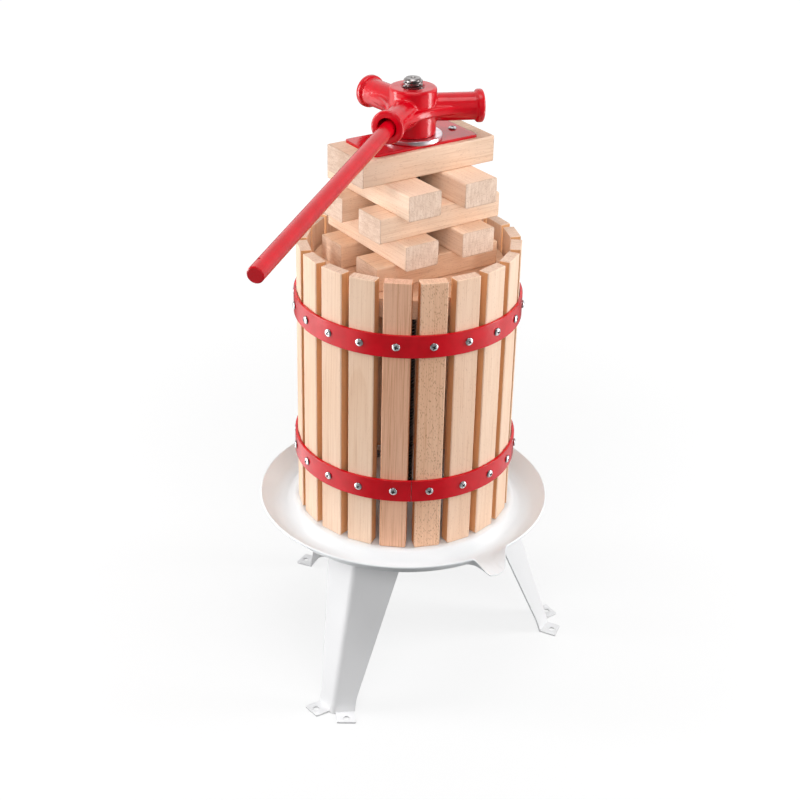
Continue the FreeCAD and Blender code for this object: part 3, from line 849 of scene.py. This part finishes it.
trayLine = {
    "holeRadius": 0.0115,
    "seatHeight": 0.196,
    "channelHeight": 0.183,
    "rimRise": 0.005,
    "rimRadius": 0.1664,
    "beadRadius": 0.0016,
    "beadTurn": math.radians(206.4),
    "floorRadius": 0.012,
    "shoulderRadius": 0.008,
    "shoulderMargin": 0.006,
    "seatSlope": math.radians(50.0),
    "rimSlope": math.radians(48.0),
    "sheet": 0.0015,
    "seam": 0.00001,
    "steps": {"seat": 4, "shoulder": 8, "floor": 9, "wall": 8, "bead": 15}}


def bend(place, height, radius, first, last, steps, side):
    # Points and slopes of a bend: side is 1 over a shoulder and -1 through a floor
    points = []
    for step in range(steps + 1):
        angle = first + (last - first) * step / steps
        points.append(((place + radius * math.sin(angle), height + side * radius * math.cos(angle)),
                       side * angle))
    return points


def trayOutline():
    # The sheet's section, out along the top, round the rim and back below. Each point has a place
    # on the top, its share of the way up the rim, and its offsets, as rolled and as at the spout
    line = trayLine
    seat, channel, sheet, bead = [line[label] for label in (
        "seatHeight", "channelHeight", "sheet", "beadRadius")]
    floor, shoulder, seatSlope, rimSlope = [line[label] for label in (
        "floorRadius", "shoulderRadius", "seatSlope", "rimSlope")]
    rimTop, rimHeight = line["rimRadius"] - bead, seat + line["rimRise"]
    rise = rimHeight - channel - floor * (1.0 - math.cos(rimSlope))
    floorPlace = rimTop - rise / math.tan(rimSlope) - floor * math.sin(rimSlope)
    drop = seat - channel - (shoulder + floor) * (1.0 - math.cos(seatSlope))
    shoulderPlace = (floorPlace - (floor + shoulder) * math.sin(seatSlope)
                     - drop / math.tan(seatSlope))

    hole = line["holeRadius"]
    flat = shoulderPlace - line["shoulderMargin"] - hole
    steps = line["steps"]
    upper = [((hole + flat * step / steps["seat"], seat), 0.0)
             for step in range(steps["seat"] + 1)]
    upper += bend(shoulderPlace, seat - shoulder, shoulder, 0.0, seatSlope, steps["shoulder"], 1.0)
    upper += bend(floorPlace, channel + floor, floor, -seatSlope, 0.0, steps["floor"], -1.0)
    upper += bend(floorPlace, channel + floor, floor, 0.0, rimSlope, steps["floor"], -1.0)[1:]
    foot = upper[-1][0]
    for step in range(1, steps["wall"] + 1):
        share = step / steps["wall"]
        upper.append(((foot[0] + (rimTop - foot[0]) * share,
                       foot[1] + (rimHeight - foot[1]) * share), -rimSlope))
    points = []

    def add(place, rolled, atSpout):
        share = (place[0] - floorPlace) / (rimTop - floorPlace)
        points.append((place, max(0.0, min(1.0, share)), rolled, atSpout))

    for place, slope in upper:
        add(place, (0.0, 0.0), (0.0, 0.0))
    thin = sheet / 2.0
    for step in range(1, steps["bead"]):
        a = quarterTurn - line["beadTurn"] * step / steps["bead"]
        b = quarterTurn - math.pi * step / steps["bead"]
        add(upper[-1][0], (bead * math.cos(a), bead * (math.sin(a) - 1.0)),
            (thin * math.cos(b), thin * (math.sin(b) - 1.0)))
    for place, slope in reversed(upper[:-1]):
        add(place, (-sheet * math.sin(slope), -sheet * math.cos(slope)), (0.0, -sheet))
    return points


def trayProfile(points):
    # The section as loose points, which the tree reads by their number
    mesh = bpy.data.meshes.new("tray_profile")
    mesh.from_pydata([(point[0][0], 0.0, point[0][1]) for point in points], [], [])
    share = mesh.attributes.new("share", "FLOAT", "POINT")
    rolled = mesh.attributes.new("rolled", "FLOAT_VECTOR", "POINT")
    spout = mesh.attributes.new("spout", "FLOAT_VECTOR", "POINT")
    for index, point in enumerate(points):
        share.data[index].value = point[1]
        rolled.data[index].vector = (point[2][0], 0.0, point[2][1])
        spout.data[index].vector = (point[3][0], 0.0, point[3][1])
    return mesh


def makeTray():
    points = trayOutline()
    sizes = dict(tray, Rings=len(points) + 1, **{"Channel height": trayLine["channelHeight"]})
    shape = Shape("tray_shape", sizes, makeWhite("white_tray", whitePaint["tray"]))
    given = shape.given
    mesh, u, v = shape.grid(given("Columns"), given("Rings"))
    row = (v * (given("Rings") - 1.0) + 0.5).whole().maths("MODULO", given("Rings") - 1.0)

    def sampled(value, kind):
        return shape.node("GeometryNodeSampleIndex", {"data_type": kind}, {
            "Geometry": given("Geometry"), "Value": value, "Index": row})

    def stored(name, kind):
        return sampled(shape.node("GeometryNodeInputNamedAttribute", {"data_type": kind}, {
            "Name": name}), kind)

    # The columns crowd together towards the spout, at azimuth 0
    turn = u * 2.0 - 1.0
    azimuth = turn * (given("Crowding") + turn * turn * (1.0 - given("Crowding"))) * math.pi
    off = azimuth.size()
    share = stored("share", "FLOAT")
    place = sampled(shape.node("GeometryNodeInputPosition"), "FLOAT_VECTOR")
    radius, side, height = shape.parts(place)
    rollOut, side, rollUp = shape.parts(stored("rolled", "FLOAT_VECTOR"))
    spoutOut, side, spoutUp = shape.parts(stored("spout", "FLOAT_VECTOR"))
    mouth = 1.0 - off.between(given("Spout floor half angle"), given("Spout mouth half angle"))
    mouth = mouth * share.between(0.0, given("Spout start"))
    reach = 1.0 - off.between(given("Spout tip half angle"), given("Spout side half angle"))
    groove = off.between(0.0, given("Groove half angle")) * given("Groove rise") * share
    trough = given("Channel height") - share * given("Spout fall") + groove
    radius = radius + share * given("Spout reach") * reach + rollOut + (spoutOut - rollOut) * mouth
    height = height + (trough - height) * mouth + rollUp + (spoutUp - rollUp) * mouth
    shell = shape.moved(mesh, azimuth.sine() * radius, azimuth.cosine() * radius * -1.0, height)
    shape.close(shape.merged(shell, trayLine["seam"]))
    piece = shape.grow("tray_pressed", trayProfile(points), sharp=40.0)
    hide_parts("tray")
    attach(piece, "stand")


makeTray()
for name in ("leg_left", "leg_right", "leg_back"):
    dress(name, makeWhite("white_" + name, whitePaint["legs"], edge=0.0008))
for name in (
        "leg_bolts", "leg_nuts", "spindle_base_flange", "spindle_collar_nut", "spindle_lock_nut"):
    dress(name, dullSteel)
print("tray and legs ready")


# Head: one casting, its corners softened as sand and paint leave them

casting = {
    "seam": 0.00001,
    "grain": 0.0008,
    "softness": 0.5,
    "passes": 3,
    "waviness": 1.2,
    "roughness": 0.18}


def makeHead():
    # The casting keeps the solid's form, with its faces joined first
    mesh = nodes["head_nut"].data.copy()
    form = bmesh.new()
    form.from_mesh(mesh)
    bmesh.ops.remove_doubles(form, verts=form.verts, dist=casting["seam"])
    form.to_mesh(mesh)
    form.free()
    piece = addPiece("head_casting", mesh)
    remesh = piece.modifiers.new("cast", "REMESH")
    remesh.mode, remesh.voxel_size, remesh.use_smooth_shade = "VOXEL", casting["grain"], True
    smooth = piece.modifiers.new("soft", "SMOOTH")
    smooth.factor, smooth.iterations = casting["softness"], casting["passes"]
    settled(piece, 180.0)
    dress("head_casting", makeRed("red_casting", casting["waviness"], casting["roughness"]))
    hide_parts("head_nut")
    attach(piece, "head")


makeHead()
dress("handle_bar", makeRed("red_bar", waviness=0.3, roughness=0.2, edge=0.0006))
print("head and bar ready")


# Floor, light and background

studio = {
    "floorSize": 30.0,
    "floorShade": 0.2,
    "floorGlow": 0.77,
    "farGlow": 0.2,            # added beyond the lamps' pool of light
    "pool": (0.3, 1.6),
    "floorMirrored": 0.08,
    "leftMirrored": 1.9,
    "rightMirrored": 0.9,
    "sideEdge": (0.5, 0.95),
    "worldLight": 0.2,
    "worldMirrored": 0.3,
    "wallEdge": (-0.3, 0.5)}

# Turns are from the camera's own, elevations from the floor, and each lamp looks at its aim
lamps = {
    "left_softbox": {
        "turn": -90, "elevation": 0, "distance": 1.15, "size": (0.36, 1.28), "aim": 0.66,
        "power": 13.3},
    "right_softbox": {
        "turn": 90, "elevation": 0, "distance": 1.15, "size": (0.36, 1.28), "aim": 0.66,
        "power": 12.0},
    "front_softbox": {
        "turn": 0, "elevation": 30, "distance": 2.2, "size": (2.2, 1.5), "aim": 0.35,
        "power": 22.0},
    "top_softbox": {
        "turn": 0, "elevation": 80, "distance": 2.0, "size": (1.2, 1.0), "aim": 0.35,
        "power": 13.8},
    "back_softbox": {
        "turn": 180, "elevation": 30, "distance": 2.4, "size": (2.4, 1.3), "aim": 0.35,
        "power": 3.0}}


def seenDirectly(finish, mirrored):
    # 1 for the camera and through glass, and the given level for what metal and gloss reflect
    path = finish.tree.nodes.new("ShaderNodeLightPath")
    camera, glossy, through = [Wire(finish, path.outputs[label]) for label in (
        "Is Camera Ray", "Is Glossy Ray", "Is Transmission Ray")]
    return camera.most(through).most(glossy * mirrored)


def makeFloor():
    half = studio["floorSize"] / 2.0
    corners = [(-half, -half, 0), (half, -half, 0), (half, half, 0), (-half, half, 0)]
    mesh = bpy.data.meshes.new("floor")
    mesh.from_pydata(corners, [], [(0, 1, 2, 3)])
    floor = addPiece("floor", mesh)
    finish = Finish("floor_white")
    shade = studio["floorShade"]
    matte = finish.node("ShaderNodeBsdfDiffuse", {}, {"Color": (shade, shade, shade, 1.0)})
    # Away from the press, where less light falls, the paper glows more
    x, y, z = finish.parts(finish.spot())
    distance = (x * x + y * y).power(0.5)
    level = distance.between(*studio["pool"]) * studio["farGlow"] + studio["floorGlow"]
    # The paper is mirrored bright on the lamps' sides, and dim in front of and behind the press
    turn = math.radians(cameraFit["turn"])
    aside = (x * math.cos(turn) + y * math.sin(turn)) / (distance + 0.001)
    left = (-aside).between(*studio["sideEdge"]) * studio["leftMirrored"]
    right = aside.between(*studio["sideEdge"]) * studio["rightMirrored"]
    mirrored = left + right + studio["floorMirrored"]
    strength = seenDirectly(finish, mirrored) * level
    glow = finish.node("ShaderNodeEmission", {}, {"Strength": strength})
    both = finish.node("ShaderNodeAddShader", {}, {0: matte, 1: glow})
    finish.node("ShaderNodeOutputMaterial", {}, {"Surface": both})
    mesh.materials.append(finish.material)


def makeWorld():
    world = bpy.data.worlds.new("studio")
    world.use_nodes = True
    maker = Maker()
    maker.tree = world.node_tree
    maker.tree.nodes.clear()
    # The white wall stands behind the press, and the room in front of it is dimmer
    x, y, z = maker.parts(maker.node("ShaderNodeTexCoord"))
    turn = math.radians(cameraFit["turn"])
    behind = (y * math.cos(turn) - x * math.sin(turn)).between(*studio["wallEdge"])
    mirrored = behind * (1.0 - studio["worldMirrored"]) + studio["worldMirrored"]
    level = seenDirectly(maker, mirrored).most(studio["worldLight"])
    sky = maker.node("ShaderNodeBackground", {}, {"Color": (1.0, 1.0, 1.0, 1.0), "Strength": level})
    maker.node("ShaderNodeOutputWorld", {}, {"Surface": sky})
    bpy.context.scene.world = world


def makeLamp(name, lamp):
    data = bpy.data.lights.new(name, "AREA")
    data.shape, data.energy = "RECTANGLE", lamp["power"]
    data.size, data.size_y = lamp["size"]
    placed = bpy.data.objects.new(name, data)
    bpy.context.scene.collection.objects.link(placed)
    a, e = math.radians(cameraFit["turn"] + lamp["turn"]), math.radians(lamp["elevation"])
    back = Vector((math.sin(a) * math.cos(e), -math.cos(a) * math.cos(e), math.sin(e)))
    placed.location = Vector((0, 0, lamp["aim"])) + back * lamp["distance"]
    placed.rotation_euler = (-back).to_track_quat("-Z", "Y").to_euler()
    placed.visible_camera = False
    placed.visible_glossy = name != "front_softbox"  # its glare would hide the colours


makeFloor()
makeWorld()
for name, lamp in lamps.items():
    makeLamp(name, lamp)
bpy.context.scene.view_settings.view_transform = "Standard"
print("studio ready")
